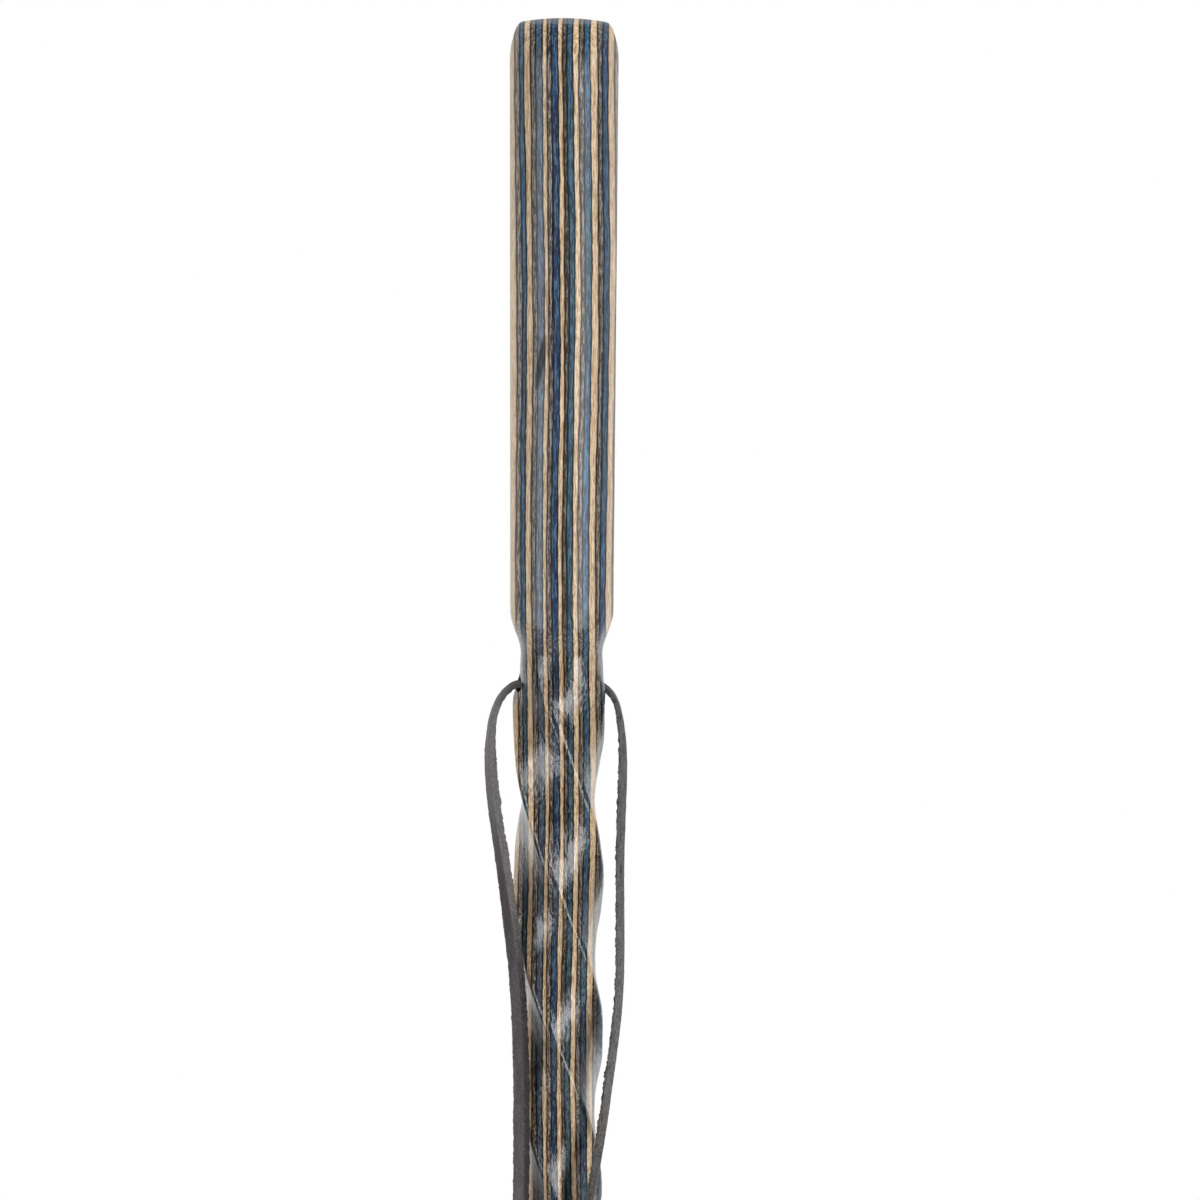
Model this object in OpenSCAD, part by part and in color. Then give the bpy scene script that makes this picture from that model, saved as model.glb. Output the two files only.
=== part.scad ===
// Hiking staff: a stick glued up from dyed veneers, with a round grip, a carved twist,
// a leather wrist strap through a hole under the grip, and a rubber ferrule at the foot.
// Millimetres, +Z up, origin at the middle of the foot. The strap hangs at the front, -Y.

/* [Staff] */
// Overall length, from the foot to the top of the crown
staff_len = 1219; // [950:1:1500]
// Thickness of one veneer; the grip is turned to the full stack
veneer_t = 1.5875; // [1.4:0.0125:1.8]

/* [Grip] */
// Length of the round grip, crown included
grip_len = 178; // [120:1:240]
// Radius of the domed middle of the crown
dome_r = 12; // [9:0.25:13]
// Rise of the dome
crown_rise = 1.45; // [0.6:0.05:2.5]
// Depth of the crown's rounded edge, below the top
edge_depth = 3.85; // [3:0.05:6]
// Length of the taper between that edge and the straight wall
taper_len = 8.65; // [4:0.05:16]
// How far the taper draws in on the radius
taper_in = 1.6; // [0.5:0.1:2.5]

/* [Neck and strap hole] */
// Length of the curved shoulder under the grip
shoulder_len = 14.5; // [8:0.5:24]
// Radius of the neck under the shoulder
neck_r = 12.5; // [11.5:0.1:13.5]
// Length of the plain neck above the carving
neck_len = 1.5; // [0.5:0.25:8]
// Drop from the grip's lower edge to the middle of the strap hole
hole_drop = 23.5; // [21:0.5:40]
// Bore of the strap hole
hole_d = 6.35; // [6:0.05:8]

/* [Carved twist] */
// Half width across two flats
flat_half = 11.5; // [10:0.1:12.5]
// Half width across two ridges
ridge_half = 14.2; // [13:0.1:15]
// Drop along one side from a ridge to the next
lobe_pitch = 53; // [36:1:90]
// Drop from the grip's lower edge to the first ridge that faces the front
first_ridge_drop = 35; // [26:0.5:60]
// Length over which the round neck turns into flats
neck_fade = 14; // [8:1:30]
// Length over which the flats turn back into the round tail
tail_fade = 40; // [20:1:80]
// Height of the twist's lower end above the foot
twist_end_z = 110; // [85:1:200]

/* [Foot] */
// Radius of the round tail under the twist, which the ferrule fits
tail_r = 12.5; // [11.6:0.1:13.5]
// Height of the ferrule
ferrule_h = 46; // [36:1:60]
// Rubber under the washer
ferrule_floor = 9; // [6:0.5:14]
// Radius of the ferrule's flared foot
ferrule_foot_r = 19.5; // [17:0.25:24]
// Height of that foot's straight edge
ferrule_foot_h = 5; // [4:0.25:8]
// Rubber wall at the rim
ferrule_wall = 3.2; // [2:0.1:5]
// Number of flexing rings moulded round the wall
ferrule_rings = 3; // [2:1:5]
// How far each ring stands out
ring_out = 1.1; // [0.5:0.1:2]
// Depth of the tread's grooves
tread_depth = 1.4; // [0.8:0.1:3]
// Thickness of the steel washer in the ferrule
washer_t = 1.5; // [1:0.1:3]
// Hole in the washer
washer_hole_d = 6; // [4:0.5:10]

/* [Strap] */
// Width of the leather lace
lace_w = 5; // [4:0.1:5.2]
// Thickness of the lace
lace_t = 2.5; // [1.5:0.1:2.8]
// Chamfer on the lace's long edges
lace_edge = 0.6; // [0.3:0.05:0.7]
// Widest radius of the knot
knot_r = 5.5; // [4:0.1:6]
// Height of the knot
knot_h = 16; // [12:0.5:24]

/* [Hidden] */
$fn = 96;

// Overrun of every cut past the face that it leaves
over = 1;
// Radial clearance of the ferrule's bore on the tail
ferrule_fit = 0.05;
// Radial clearance of the washer in the bore
washer_fit = 0.5;
// Thinnest edge that carving leaves on a veneer
feather_t = 0.15;
// How far under the turned surface the carving starts and ends
carve_step = 0.05;
// How far the carved part of a veneer reaches into its turned ends
lap = 1;
// Share of a veneer's outermost edge that is left blunt
nose_share = 0.1;

// The veneers from left to right, dyed in turn
veneers = 20;
half_stack = veneers / 2;
dyes = ["natural", "grey", "blue"];
dye_colours = ["#dcc199", "#75706a", "#3f6890"];

function ply_name(i) = str("ply_", i < 9 ? "0" : "", i + 1, "_", dyes[i % len(dyes)]);

// Heights of the grip, neck and twist
grip_r = half_stack * veneer_t;
grip_end_z = staff_len - grip_len;
neck_z = grip_end_z - shoulder_len;
twist_top_z = neck_z - neck_len;
hole_z = grip_end_z - hole_drop;
first_ridge_z = grip_end_z - first_ridge_drop;

// The section of the twist is a square with round corners: arms from the middle to the
// four ridges, each ending in a round, and flats between the rounds
ridge_round = (flat_half * sqrt(2) - ridge_half) / (sqrt(2) - 1);
ridge_arm = ridge_half - ridge_round;
rings_per_lobe = 5;
twist_steps = ceil((twist_top_z - twist_end_z) * rings_per_lobe / lobe_pitch);

// Smooth step from 0 to 1
function ease(s) = let (u = max(0, min(1, s))) u * u * (3 - 2 * u);

// Point at share t of the curve that leaves a towards b and reaches c from b
function bend(a, b, c, t) = (1 - t) * (1 - t) * a + 2 * t * (1 - t) * b + t * t * c;

// Crown: a dome, a rounded edge and a taper, each tangent to the next.
// Points are a radius and a depth below the top.
crown_segments = 5;
taper_r = grip_r - taper_in;
dome_slope = 2 * crown_rise / dome_r;
taper_slope = 2 * taper_in / taper_len;
corner_r = (taper_r - taper_slope * (edge_depth - crown_rise + dome_slope * dome_r))
    / (1 - taper_slope * dome_slope);
corner_depth = crown_rise + dome_slope * (corner_r - dome_r);
dome = [for (i = [1 : crown_segments]) let (t = i / crown_segments)
    [dome_r * t, crown_rise * t * t]];
edge = [for (i = [1 : crown_segments]) bend([dome_r, crown_rise], [corner_r, corner_depth],
    [taper_r, edge_depth], i / crown_segments)];
taper = [for (i = [1 : crown_segments]) let (t = i / crown_segments)
    [grip_r - taper_in * (1 - t) * (1 - t), edge_depth + taper_len * t]];
crown = concat([[0, 0]], dome, edge, taper);

// Shoulder: half a cosine wave from the grip down to the neck
shoulder_segments = 9;
shoulder = [for (i = [0 : shoulder_segments]) let (t = i / shoulder_segments)
    [neck_r + (grip_r - neck_r) * (1 + cos(180 * t)) / 2, grip_end_z - shoulder_len * t]];

// Round top of the stick: crown, grip, shoulder and neck
module stick_top() {
    rotate_extrude()
        polygon(concat(
            [for (p = crown) [p.x, staff_len - p.y]],
            shoulder,
            [[neck_r, twist_top_z], [0, twist_top_z]]));
}

// Round foot of the stick: a plain tail that stands on the washer in the ferrule
module stick_foot() {
    tail_z = ferrule_floor + washer_t;
    translate([0, 0, tail_z])
        cylinder(r = tail_r, h = twist_end_z - tail_z);
}

// Share of the full carving at height z: none at the neck and tail, all of it between
function carved(z) = min(ease((twist_top_z - z) / neck_fade), ease((z - twist_end_z) / tail_fade));

// Radius of the uncarved stick where the carving fades out, a hair under the turned surface
function stick_r(z) = (2 * z > twist_top_z + twist_end_z ? neck_r : tail_r) - carve_step;

// Round and arm of the section at height z, and the angle that it has turned
function round_at(z) = let (s = carved(z)) s * ridge_round + (1 - s) * stick_r(z);
function arm_at(z) = carved(z) * ridge_arm;
function turn_at(z) = 90 * (first_ridge_z - z) / lobe_pitch;

// Middle of ridge j's round at height z
function ridge(j, z) = let (a = turn_at(z) + 90 * j) arm_at(z) * [cos(a), sin(a)];

// Furthest that the section at height z reaches to the right
function reach(z) = round_at(z) + max([for (j = [0 : 3]) ridge(j, z).x]);

// Back of the section at height z, as y over x. The front is the same, turned half round.
function back_y(x, z) =
    let (r = round_at(z))
    max([for (j = [0 : 3])
        let (
            c = ridge(j, z),
            a = turn_at(z) + 90 * j + 45,
            p = c + r * [cos(a), sin(a)],
            q = ridge(j + 1, z) + r * [cos(a), sin(a)])
        each concat(
            abs(x - c.x) <= r ? [c.y + sqrt(r * r - (x - c.x) * (x - c.x))] : [],
            (x - p.x) * (x - q.x) < 0 ? [p.y + (q.y - p.y) * (x - p.x) / (q.x - p.x)] : [])]);

// Section at height z of a veneer between x0 and x1
function veneer_ring(x0, x1, z) =
    let (xo = min(x1, x0 + (1 - nose_share) * (reach(z) - x0)))
    [[x0, -back_y(-x0, z), z], [xo, -back_y(-xo, z), z], [xo, back_y(xo, z), z], [x0, back_y(x0, z), z]];

// Faces of a skin over rings of n points each, with both ends closed
function skin_faces(rings, n) = concat(
    [[for (j = [0 : n - 1]) j]],
    [for (i = [0 : rings - 2], j = [0 : n - 1], half = [0, 1])
        let (a = i * n + j, b = i * n + (j + 1) % n)
        half == 0 ? [a, a + n, b + n] : [a, b + n, b]],
    [[for (j = [n - 1 : -1 : 0]) (rings - 1) * n + j]]);

// Skin over a list of rings
module skin(rings) {
    polyhedron([for (r = rings) each r], skin_faces(len(rings), len(rings[0])), convexity = 10);
}

// A veneer that runs the whole length of the twist
module whole_veneer(x0, x1) {
    heights = concat(
        [twist_end_z - lap],
        [for (i = [0 : twist_steps]) twist_end_z + (twist_top_z - twist_end_z) * i / twist_steps],
        [twist_top_z + lap]);
    skin([for (z = heights) veneer_ring(x0, x1, z)]);
}

// Height between a ridge at z_in and a flat at z_out where the section reaches just past x
function shore(z_in, z_out, x, tries = 16) =
    let (z = (z_in + z_out) / 2)
    tries == 0 ? z_in : reach(z) > x ? shore(z, z_out, x, tries - 1) : shore(z_in, z, x, tries - 1);

// What carving leaves on the ridges of a veneer that lies further out than the flats
module ridge_islands(x0, x1) {
    for (z = [first_ridge_z : -lobe_pitch : twist_end_z])
        if (reach(z) > x0 + 2 * feather_t) {
            low = shore(z, z - lobe_pitch / 2, x0 + feather_t);
            high = shore(z, z + lobe_pitch / 2, x0 + feather_t);
            skin([for (i = [0 : rings_per_lobe]) veneer_ring(x0, x1, low + (high - low) * i / rings_per_lobe)]);
        }
}

// Veneer number k to the right of the middle
module right_veneer(k) {
    x0 = k * veneer_t;
    x1 = x0 + veneer_t;
    difference() {
        union() {
            intersection() {
                union() {
                    stick_top();
                    stick_foot();
                }
                translate([x0, -grip_r - over, 0])
                    cube([veneer_t, 2 * (grip_r + over), staff_len + over]);
            }
            if (x0 + feather_t < flat_half)
                whole_veneer(x0, x1);
            else
                ridge_islands(x0, x1);
        }
        translate([x0 - over, 0, hole_z])
            rotate([0, 90, 0])
                cylinder(d = hole_d, h = veneer_t + 2 * over);
    }
}

// Veneer number i from the left; the left half is the right half turned half round
module ply(i) {
    left = i < half_stack;
    color(dye_colours[i % len(dyes)])
        rotate([0, 0, left ? 180 : 0])
            right_veneer(left ? half_stack - 1 - i : i - half_stack);
}

// Ferrule: a rubber cup over the tail, with flexing rings, a flared foot and a ringed tread
bore_r = tail_r + ferrule_fit;
rim_r = bore_r + ferrule_wall;
rim_round = ferrule_wall / 3;
foot_round = ferrule_foot_h / 3;
flare_z = ferrule_floor + ferrule_foot_h;
ring_step = (ferrule_h - flare_z) / (ferrule_rings + 1);
flare_segments = 6;
tread_shares = [0.28, 0.4, 0.56, 0.68];

module rubber_ferrule() {
    flare = [for (i = [0 : flare_segments])
        bend([ferrule_foot_r, ferrule_foot_h], [rim_r, ferrule_foot_h], [rim_r, flare_z], i / flare_segments)];
    color("#2f2f31")
        difference() {
            union() {
                rotate_extrude()
                    polygon(concat(
                        [[0, 0], [ferrule_foot_r - foot_round, 0], [ferrule_foot_r, foot_round]],
                        flare,
                        [[rim_r, ferrule_h - rim_round], [rim_r - rim_round, ferrule_h], [0, ferrule_h]]));
                for (i = [1 : ferrule_rings])
                    translate([0, 0, flare_z + ring_step * i])
                        rotate_extrude()
                            polygon([[bore_r + rim_round, -ring_step / 3], [rim_r, -ring_step / 3],
                                [rim_r + ring_out, 0], [rim_r, ring_step / 3],
                                [bore_r + rim_round, ring_step / 3]]);
            }
            translate([0, 0, ferrule_floor])
                cylinder(r = bore_r, h = ferrule_h);
            for (i = [0 : 2 : len(tread_shares) - 1])
                translate([0, 0, -over])
                    difference() {
                        cylinder(r = ferrule_foot_r * tread_shares[i + 1], h = tread_depth + over);
                        cylinder(r = ferrule_foot_r * tread_shares[i], h = tread_depth + over);
                    }
        }
}

// Steel washer between the tail and the rubber
module ferrule_washer() {
    color("silver")
        translate([0, 0, ferrule_floor])
            difference() {
                cylinder(r = bore_r - washer_fit, h = washer_t);
                translate([0, 0, -over])
                    cylinder(d = washer_hole_d, h = washer_t + 2 * over);
            }
}

// Route of the lace from the knot, up the left side, through the hole and down the right side:
// x, y and z from the middle of the hole, and the roll of its width from front-to-back to sideways
lace_route = [
    [-6.5, -20, -214, -58], [-8.5, -18.5, -202, -64], [-10.5, -16.5, -188, -68], [-12, -14.5, -172, -70],
    [-12, -13.5, -156, -70], [-12, -13, -140, -70], [-12.3, -13, -124, -69], [-13, -13, -108, -66],
    [-14, -12.5, -92, -60], [-15, -12, -78, -51], [-16.5, -11, -66, -42], [-18, -10, -55, -34],
    [-19.5, -8.5, -45, -28], [-20.7, -7, -36, -22], [-21.6, -5, -27, -17], [-21.8, -3.5, -19, -12],
    [-21.4, -2, -12.5, -7], [-20.3, -1, -7.5, -3], [-18.4, -0.5, -3.8, -1], [-16.2, 0, -1.7, 0],
    [-13.8, 0, -0.7, 0], [-9, 0, -0.3, 0], [-3, 0, -0.2, 0], [3, 0, -0.2, 0],
    [9, 0, -0.3, 0], [13.6, 0, -0.8, 0], [15.8, 0, -2, 0], [17.5, -0.3, -4.3, 0],
    [18.6, -0.8, -8, 0], [19.2, -1.5, -12.5, 0], [19.7, -2.5, -19, 0], [19.8, -3.5, -27, 0],
    [19.6, -5, -37, 0], [19.3, -6.5, -48, 0], [19.2, -8, -60, 0], [19.3, -9.5, -74, 0],
    [19.3, -11, -88, 0], [18.6, -12.5, -102, 0], [17.2, -13.5, -115, 0], [15.6, -14.5, -128, 0],
    [14, -15.5, -141, 0], [12, -16.5, -155, 5], [9, -17.5, -171, 10], [5.3, -18.5, -186, 20],
    [1, -19.5, -200, 30], [-3, -20.3, -213, 40]];
tail_routes = [
    [[-7, -20.5, -227, -60], [-8, -20.3, -236, -65], [-9.3, -19.8, -246, -72], [-10.5, -19.2, -256, -80],
        [-11, -18.8, -265, -85]],
    [[-3, -20.5, -227, 40], [-2.2, -20.4, -236, 50], [-1.6, -20.1, -244, 58], [-1.4, -19.6, -252, 65],
        [-1.6, -19, -259, 70]]];
knot_place = [-5, -20.5, -221];

function place(p) = [p[0], p[1], p[2]];
function unit(v) = v / norm(v);

// Outline of the lace, with chamfered edges, as shares of its width and thickness directions
lace_outline = let (w = lace_w / 2, t = lace_t / 2, c = lace_edge)
    [[w, c - t], [w, t - c], [w - c, t], [c - w, t], [-w, t - c], [-w, c - t], [c - w, -t], [w - c, -t]];

// Ring of the lace at point i of a route
function lace_ring(route, i) =
    let (
        last = len(route) - 1,
        along = unit(place(route[min(i + 1, last)]) - place(route[max(i - 1, 0)])),
        side = [sin(route[i][3]), cos(route[i][3]), 0],
        across = unit(side - (side * along) * along),
        out = cross(along, across))
    [for (p = lace_outline) place(route[i]) + p.x * across + p.y * out];

module lace_run(route) {
    skin([for (i = [0 : len(route) - 1]) lace_ring(route, i)]);
}

module strap_lace() {
    color("#57534f")
        translate([0, 0, hole_z])
            lace_run(lace_route);
}

// Overhand knot that closes the strap, as its outer shape with the turns of the lace round it
knot_turns = 3;
knot_segments = 24;
knot_swell_share = 0.35;
knot_groove_share = 0.12;

module strap_knot() {
    shape = [for (i = [0 : knot_segments]) let (t = i / knot_segments)
        [knot_r * (1 - knot_swell_share * pow(2 * t - 1, 2))
            * (1 - knot_groove_share * (1 + cos(360 * knot_turns * t)) / 2), knot_h * (t - 1 / 2)]];
    color("#4d4945")
        translate([0, 0, hole_z] + knot_place)
            rotate_extrude()
                polygon(concat([[0, -knot_h / 2]], shape, [[0, knot_h / 2]]));
}

// Loose ends of the lace below the knot
module strap_tails() {
    color("#57534f")
        translate([0, 0, hole_z])
            for (route = tail_routes)
                lace_run(route);
}

for (i = [0 : veneers - 1])
    ply(i);
rubber_ferrule();
ferrule_washer();
strap_lace();
strap_knot();
strap_tails();
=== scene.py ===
# %% [markdown]
# # A hiking staff of dyed veneers
#
# The staff is a stick glued up from 20 thin veneers, dyed natural, grey and blue in turn. Its grip is turned
# round, and below the neck a left-handed twist of four ridges is carved right through the stack. A leather
# lace hangs from a hole under the grip, and a rubber ferrule covers the foot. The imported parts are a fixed
# frame, and every piece made here is in metres and sits where its part sits.

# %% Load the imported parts
import math

import bpy
import numpy as np
from mathutils import Matrix, Vector


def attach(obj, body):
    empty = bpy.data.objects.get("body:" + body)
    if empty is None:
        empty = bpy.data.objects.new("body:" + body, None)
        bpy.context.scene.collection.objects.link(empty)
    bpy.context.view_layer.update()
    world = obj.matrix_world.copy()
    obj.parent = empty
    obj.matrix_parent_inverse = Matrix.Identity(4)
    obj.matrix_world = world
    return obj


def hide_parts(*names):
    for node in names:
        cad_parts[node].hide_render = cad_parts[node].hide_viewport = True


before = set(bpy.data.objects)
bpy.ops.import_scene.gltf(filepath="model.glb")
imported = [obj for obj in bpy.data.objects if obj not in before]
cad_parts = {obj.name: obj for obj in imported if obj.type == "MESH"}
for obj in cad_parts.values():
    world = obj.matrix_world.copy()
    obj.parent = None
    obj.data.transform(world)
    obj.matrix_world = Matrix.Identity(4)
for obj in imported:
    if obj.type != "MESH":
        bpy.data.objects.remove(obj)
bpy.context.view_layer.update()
MM = 0.001

# %% [markdown]
# ## The camera
#
# A long lens from a little above the grip, tilted down so that the upright stick tapers slightly towards the
# bottom of the picture. A hair of roll lets it lean. The camera comes before the pieces.

# %% Camera
CAMERA_PLACE = Vector((0.0117, -0.793, 1.249))
CAMERA_TILT = math.radians(14.5)
CAMERA_ROLL = math.radians(0.46)
LENS_MM, SENSOR_MM = 80, 36

bpy.ops.object.camera_add()
camera = bpy.context.object
camera.name = "camera"
camera.data.lens = LENS_MM
camera.data.sensor_width = SENSOR_MM
camera.matrix_world = (Matrix.Translation(CAMERA_PLACE)
                       @ Matrix.Rotation(math.pi / 2 - CAMERA_TILT, 4, "X")
                       @ Matrix.Rotation(CAMERA_ROLL, 4, "Z"))
bpy.context.scene.camera = camera
print("camera at", [round(v, 3) for v in CAMERA_PLACE])

# %% [markdown]
# ## The leather lace
#
# The wrist strap is one flat lace, 5 by 2.5 mm, through the hole in the neck and tied below. A curve with a
# bevel would do for a round cord, but a flat one also rolls about its own line, and its cut edges are ragged.
# So its outline is swept as a mesh along a smooth line through the route's points, each with its own roll.
# The edges are roughened as they are laid, and the lace is thinner where the hole pinches it.

# %% Route of the lace
HOLE_Z = 1017.5
LACE_W = 5.0
LACE_T = 2.5

# x, y and z from the middle of the hole in millimetres, and the roll of the width in degrees
LACE_LEFT = [
    (0, 0, -0.2, 180), (-3, 0, -0.2, 180), (-9, 0, -0.3, 180), (-13.8, 0, -0.8, 180), (-16.1, 0, -1.9, 180),
    (-18.2, -0.5, -4, 178), (-20.1, -1, -7.6, 175), (-21.4, -2, -12.5, 170), (-21.9, -3.5, -19, 163),
    (-21.8, -5, -27, 157), (-20.9, -7, -36, 153), (-19.6, -8.5, -45, 148), (-18, -10, -55, 143),
    (-16.5, -11, -66, 136), (-15, -12, -78, 131), (-13.5, -12.5, -92, 128), (-12.6, -13, -108, 126),
    (-12.1, -13, -124, 125), (-12, -13, -140, 124), (-12, -13.5, -156, 123), (-12, -14.5, -172, 122),
    (-10.5, -16.5, -188, 121), (-8.5, -18.5, -202, 121), (-6.5, -20, -214, 123), (-6, -20.4, -219, 125)]
LACE_RIGHT = [
    (0, 0, -0.2, 0), (3, 0, -0.3, 0), (9, 0, -0.5, 0), (11.8, 0, -0.9, 0), (13.8, 0, -2, 0), (15.5, 0, -3.7, 0),
    (16.9, -0.3, -6.2, 0), (17.9, -0.8, -9.5, 0), (18.6, -1.5, -13.5, 0), (19.2, -2.5, -19.5, 0),
    (19.3, -3.5, -27, 0), (19.1, -5, -37, 0), (18.8, -6.5, -48, 0), (18.7, -8, -60, 0),
    (18.9, -9.5, -74, 0), (19, -11, -88, 0), (18.5, -12.5, -102, 0), (17.2, -13.5, -115, 0),
    (15.6, -14.5, -128, 0), (14, -15.5, -141, 0), (12, -16.5, -155, 5), (9, -17.5, -171, 10),
    (5.3, -18.5, -186, 20), (1, -19.5, -200, 30), (-3, -20.3, -213, 40), (-4, -20.5, -218, 45)]
TAIL_LEFT = [(-6.5, -20.5, -222, 125), (-7, -20.5, -227, 120), (-8, -20.3, -236, 115), (-9.3, -19.8, -246, 108),
             (-10.5, -19.2, -256, 100), (-11, -18.8, -265, 95)]
TAIL_RIGHT = [(-3.5, -20.5, -222, 45), (-3, -20.5, -227, 40), (-2.2, -20.4, -236, 50), (-1.6, -20.1, -244, 58),
              (-1.4, -19.6, -252, 65), (-1.6, -19, -259, 70)]


def smooth_line(points, step):
    """Points about one step apart on a smooth line through the given ones, with their roll."""
    given = np.array(points, float)
    given = np.vstack([2 * given[0] - given[1], given, 2 * given[-1] - given[-2]])
    line = []
    for a, b, c, d in zip(given, given[1:], given[2:], given[3:]):
        count = max(1, round(np.linalg.norm((c - b)[:3]) / step))
        for t in np.arange(count) / count:
            line.append(0.5 * (2 * b + (c - a) * t + (2 * a - 5 * b + 4 * c - d) * t ** 2
                               + (3 * b - a - 3 * c + d) * t ** 3))
    return np.array(line + [given[-2]])


def line_length(line):
    """Length of a line of points."""
    return float(np.linalg.norm(np.diff(line[:, :3], axis=0), axis=1).sum())


print("lace in mm:", round(line_length(smooth_line(LACE_LEFT, 1))), round(line_length(smooth_line(LACE_RIGHT, 1))))

# %% Sweep of the lace
EDGE_ROUND = 0.55
SIDE_POINTS = 9
EDGE_POINTS = 5
LINE_STEP = 0.8
# How far the rough edges stray, how wide they are, and how far the smooth face strays, in millimetres
RAGGED, RAGGED_RIGHT = 0.24, 0.34
EDGE_BAND = 0.8
FACE_STRAY = 0.015
# Share of the thickness that the hole takes, where the lace has swelled out again, and over what length it does
PINCH, PINCH_END, PINCH_LENGTH = 0.4, 40, 22


def pick(piece):
    """Makes a piece the only one selected, and active."""
    bpy.ops.object.select_all(action="DESELECT")
    piece.select_set(True)
    bpy.context.view_layer.objects.active = piece


def close_and_smooth(piece, angle=40):
    """Turns a mesh's faces outwards and shades it smooth, apart from its sharp edges."""
    pick(piece)
    bpy.ops.object.mode_set(mode="EDIT")
    bpy.ops.mesh.select_all(action="SELECT")
    bpy.ops.mesh.normals_make_consistent(inside=False)
    bpy.ops.object.mode_set(mode="OBJECT")
    bpy.ops.object.shade_smooth_by_angle(angle=math.radians(angle))


def carry(piece, **values):
    """Gives a mesh named numbers, one for each vertex, that its material can read."""
    for name, numbers in values.items():
        kept = piece.data.attributes.new(name, "FLOAT", "POINT")
        kept.data.foreach_set("value", numbers.astype(np.float32))


def lace_outline(width, thickness):
    """Points round the lace, across its width and thickness, from the smooth face to the flesh side."""
    w, t = width / 2 - EDGE_ROUND, thickness / 2 - EDGE_ROUND
    corners = [(w, t, 0), (-w, t, 90), (-w, -t, 180), (w, -t, 270)]
    outline = []
    for (x, y, start), (x2, y2, _) in zip(corners, corners[1:] + corners[:1]):
        for turn in (0, 30, 60, 90):
            angle = math.radians(start + turn)
            outline.append((x + EDGE_ROUND * math.cos(angle), y + EDGE_ROUND * math.sin(angle)))
        angle = math.radians(start + 90)
        inner = SIDE_POINTS if abs(x2 - x) > abs(y2 - y) else EDGE_POINTS
        for i in range(1, inner):
            outline.append((x + (x2 - x) * i / inner + EDGE_ROUND * math.cos(angle),
                            y + (y2 - y) * i / inner + EDGE_ROUND * math.sin(angle)))
    return np.array(outline)


def sweep_lace(name, line, sides, seed, width=LACE_W, thickness=LACE_T, ragged=RAGGED, pinch=0.0):
    """A lace along a line in millimetres, its width towards sides, with ragged cut edges, pinched at its start."""
    draw = np.random.default_rng(seed)
    outline = lace_outline(width, thickness)
    along = np.gradient(line, axis=0)
    along /= np.linalg.norm(along, axis=1)[:, None]
    across = sides - (sides * along).sum(1)[:, None] * along
    across /= np.linalg.norm(across, axis=1)[:, None]
    out = np.cross(along, across)
    rings, count = len(line), len(outline)
    # How far each point is towards a cut edge or the flesh side, where the leather is rough
    cut = np.clip((np.abs(outline[:, 0]) - width / 2 + EDGE_BAND) / EDGE_BAND, 0, 1)
    flesh = np.clip(-outline[:, 1] / (thickness / 2), 0, 1)
    rough = ragged * np.maximum(0.5 * cut, flesh) + FACE_STRAY
    fine = draw.normal(0, 1, (rings, count))
    coarse = np.repeat(draw.normal(0, 1, (rings // 3 + 1, count)), 3, axis=0)[:rings]
    push = rough * (0.55 * fine + 0.6 * coarse)
    unit = outline / np.linalg.norm(outline, axis=1)[:, None]
    distance = np.concatenate([[0], np.cumsum(np.linalg.norm(np.diff(line, axis=0), axis=1))])
    thin = np.ones((rings, 2))
    thin[:, 1] = 1 - pinch * np.clip((PINCH_END - distance) / PINCH_LENGTH, 0, 1)
    shape = thin[:, None] * (outline[None] + push[:, :, None] * unit[None])
    points = line[:, None] + shape[:, :, :1] * across[:, None] + shape[:, :, 1:] * out[:, None]
    faces = [[i * count + j, (i + 1) * count + j, (i + 1) * count + (j + 1) % count, i * count + (j + 1) % count]
             for i in range(rings - 1) for j in range(count)]
    faces += [list(range(count)), [(rings - 1) * count + j for j in reversed(range(count))]]
    mesh = bpy.data.meshes.new(name)
    mesh.from_pydata((points.reshape(-1, 3) * MM).tolist(), [], faces)
    piece = bpy.data.objects.new(name, mesh)
    bpy.context.scene.collection.objects.link(piece)
    carry(piece, lace_x=np.tile(outline[:, 0], rings), lace_y=np.tile(outline[:, 1], rings),
          lace_along=np.repeat(distance, count))
    close_and_smooth(piece)
    return piece


def roll_sides(line):
    """Direction of the width at each point of a line, from its roll."""
    roll = np.radians(line[:, 3])
    return np.stack([np.sin(roll), np.cos(roll), np.zeros(len(line))], axis=1)


def hang(points):
    """A run's smooth line in the staff's frame, in millimetres, and its width's directions."""
    line = smooth_line(points, LINE_STEP)
    return line[:, :3] + [0, 0, HOLE_Z], roll_sides(line)


left_line, left_sides = hang(LACE_LEFT)
right_line, right_sides = hang(LACE_RIGHT)
strap_left = sweep_lace("strap_lace_left", left_line, left_sides, 11, pinch=PINCH)
strap_right = sweep_lace("strap_lace_right", right_line, right_sides, 12, ragged=RAGGED_RIGHT, pinch=PINCH)
tails = [sweep_lace("strap_tail_" + side, *hang(points), seed)
         for side, points, seed in (("left", TAIL_LEFT, 13), ("right", TAIL_RIGHT, 14))]
print("lace faces:", len(strap_left.data.polygons), len(strap_right.data.polygons))

# %% [markdown]
# ## The knot
#
# The two runs are tied together below by turns of the same lace wound round them and pulled tight. A lump
# with grooves would be quicker, but the turns of a flat lace overlap like tiles, so one more length of lace
# is swept along a tightening helix whose ends dive into the middle.

# %% Knot
KNOT_PLACE = np.array([-5, -20.5, HOLE_Z - 221])
KNOT_TURNS = 2.6
KNOT_RINGS = 130
KNOT_HALF = 5.2
WRAP_R, WRAP_W, WRAP_T = 3.75, 4.6, 2.2
# How far the ends dive in and the turns stray, in millimetres, the lean of their width, and their first angle
TUCK_IN, WRAP_STRAY, WRAP_LEAN, WRAP_START = 1.9, 0.25, 0.18, 2.2

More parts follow.
